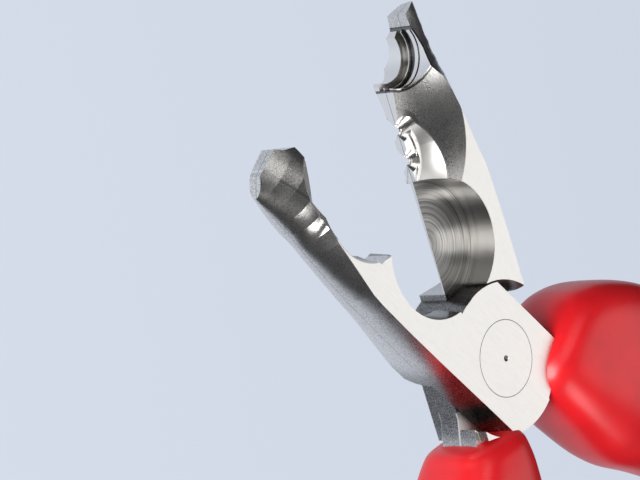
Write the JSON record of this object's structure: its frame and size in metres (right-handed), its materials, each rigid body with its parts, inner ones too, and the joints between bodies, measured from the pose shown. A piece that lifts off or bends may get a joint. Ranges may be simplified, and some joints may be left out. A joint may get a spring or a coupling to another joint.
{
  "type": "installation pliers",
  "caption": "Electrician's installation pliers with gripping tips, round pipe grip, stripping notches, cable cutter and insulated handles, shown open.",
  "frame": {"origin": "on the pivot axis, at the flat underside of the lower lever's joint plate", "axes": "+Z is the pivot axis and square to the flat head; +Y runs from the pivot to the jaw tips, midway between the open jaws; +X is to the right seen from above"},
  "size_m": [0.1244, 0.1859, 0.021],
  "materials": {
    "lower_steel": "ground faces, fine blasted flanks",
    "upper_steel": "ground faces, fine blasted flanks",
    "rivet_steel": "ground flush",
    "inner_insulation": "plain",
    "grip_plastic": "glossy moulded",
    "soft_plastic": "matte soft"
  },
  "bodies": {
    "lower_half": {"lower_lever": "lower_steel", "rivet": "rivet_steel", "lower_inner_layer": "inner_insulation", "lower_grip": "grip_plastic", "lower_soft_inlay": "soft_plastic"},
    "upper_half": {"upper_lever": "upper_steel", "upper_inner_layer": "inner_insulation", "upper_grip": "grip_plastic", "upper_soft_inlay": "soft_plastic"}
  },
  "joints": [
    {"name": "pivot", "type": "hinge", "parent": "lower_half", "child": "upper_half", "pos_m": [0, 0, 0.0057], "axis": [0, 0, 1], "range_deg": [-33.5, 6]}
  ]
}
